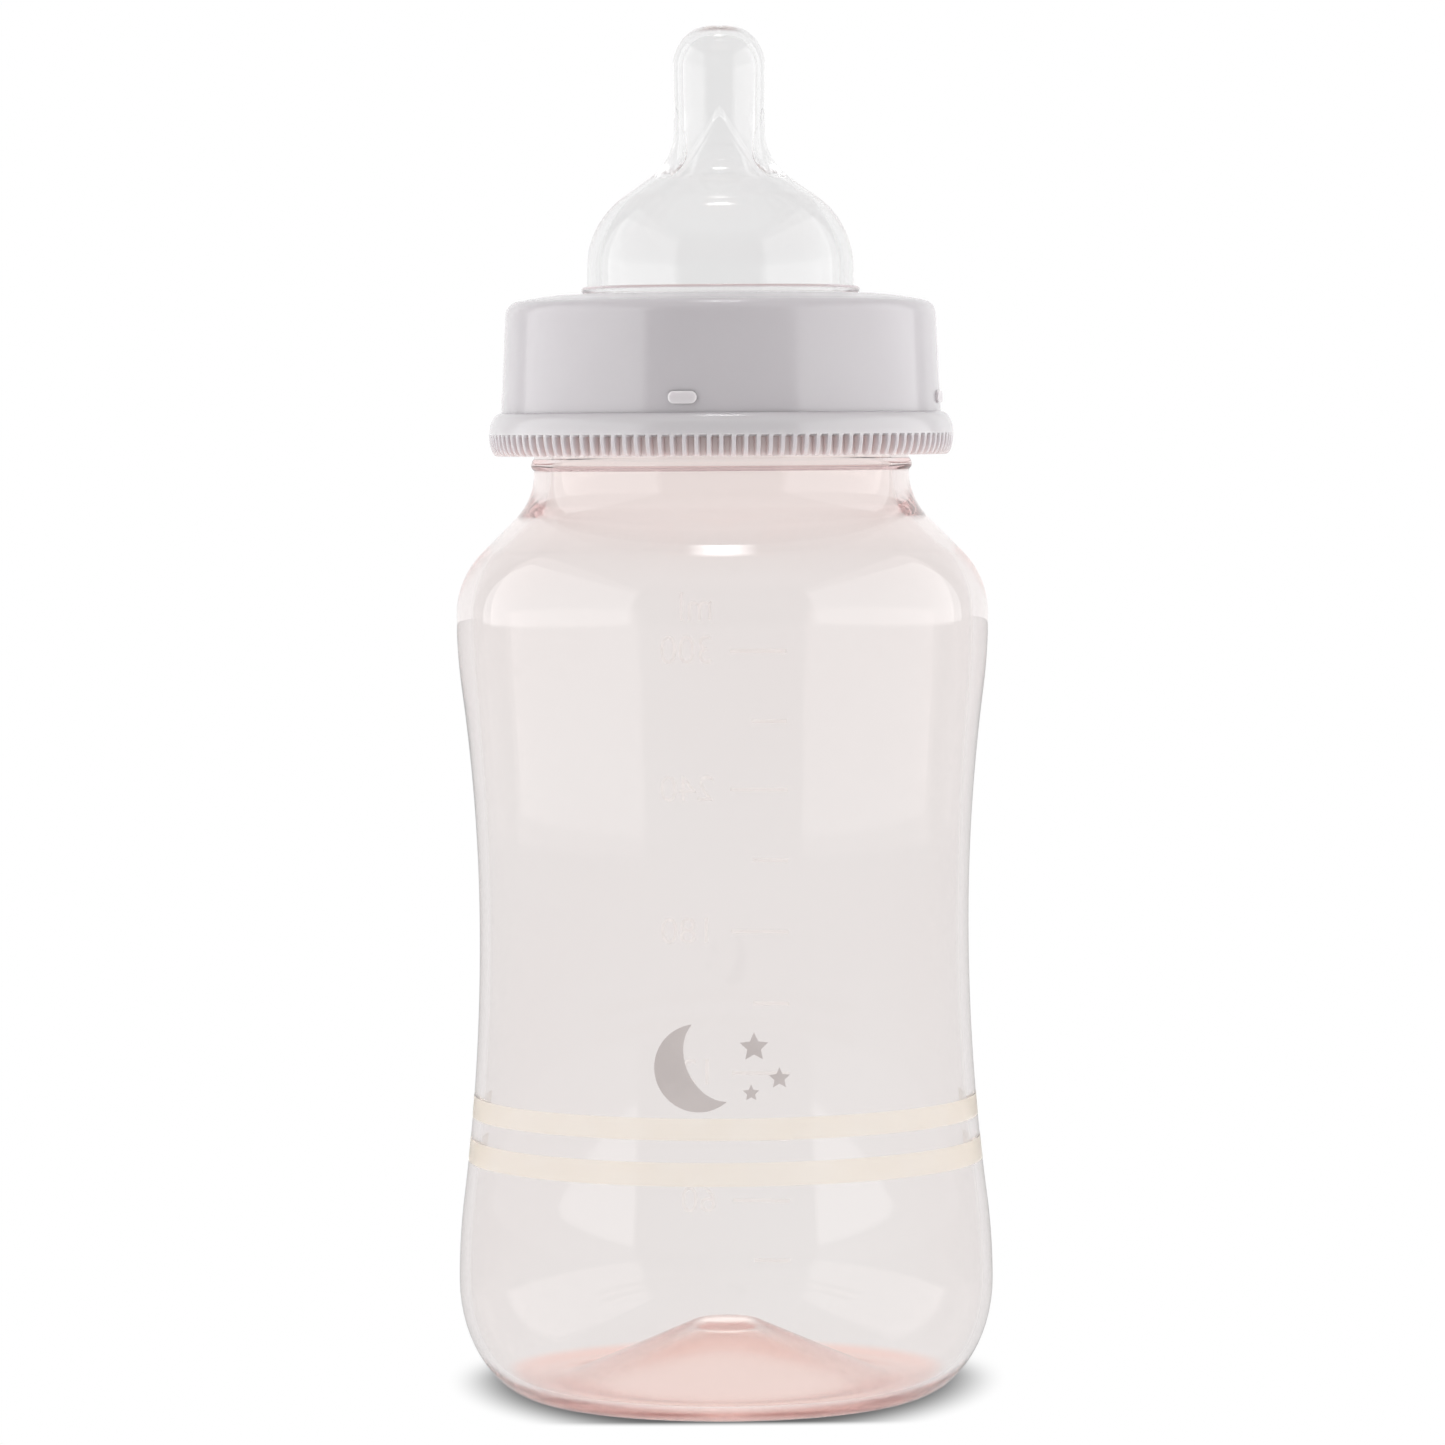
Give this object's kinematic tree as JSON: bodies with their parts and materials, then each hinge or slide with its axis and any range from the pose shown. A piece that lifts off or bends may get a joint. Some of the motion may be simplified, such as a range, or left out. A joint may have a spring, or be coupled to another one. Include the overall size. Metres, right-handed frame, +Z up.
{
  "type": "baby feeding bottle",
  "caption": "Wide-neck baby feeding bottle: hourglass clear plastic bottle with a pushed-up base, a grey screw ring with a ribbed collar and a clear silicone teat, for feeding milk.",
  "frame": {"origin": "centre of the base, on the table that the bottle stands on", "axes": "+Z up along the bottle's axis towards the teat's tip, -Y towards the printed front, +X to the right seen from the front"},
  "size_m": [0.0704, 0.0704, 0.1802],
  "materials": {
    "bottle_plastic": "clear glossy plastic with a faint pink tint",
    "teat_silicone": "clear smooth silicone",
    "ring_plastic": "glossy light grey moulded plastic"
  },
  "bodies": {
    "bottle": {"bottle": "bottle_plastic"},
    "teat": {"teat": "teat_silicone"},
    "ring": {"screw_ring": "ring_plastic"}
  },
  "joints": [
    {"name": "top_lift", "type": "slide", "parent": "bottle", "child": "teat", "axis": [0, 0, 1], "range_m": [0, 0.02475]},
    {"name": "ring_turn", "type": "hinge", "parent": "teat", "child": "ring", "pos_m": [0, 0, 0.1335], "axis": [0, 0, 1], "range_deg": [0, 990]}
  ],
  "couplings": [
    {"joint": "top_lift", "follows": "ring_turn", "m_per_rad": 0.0014324}
  ]
}
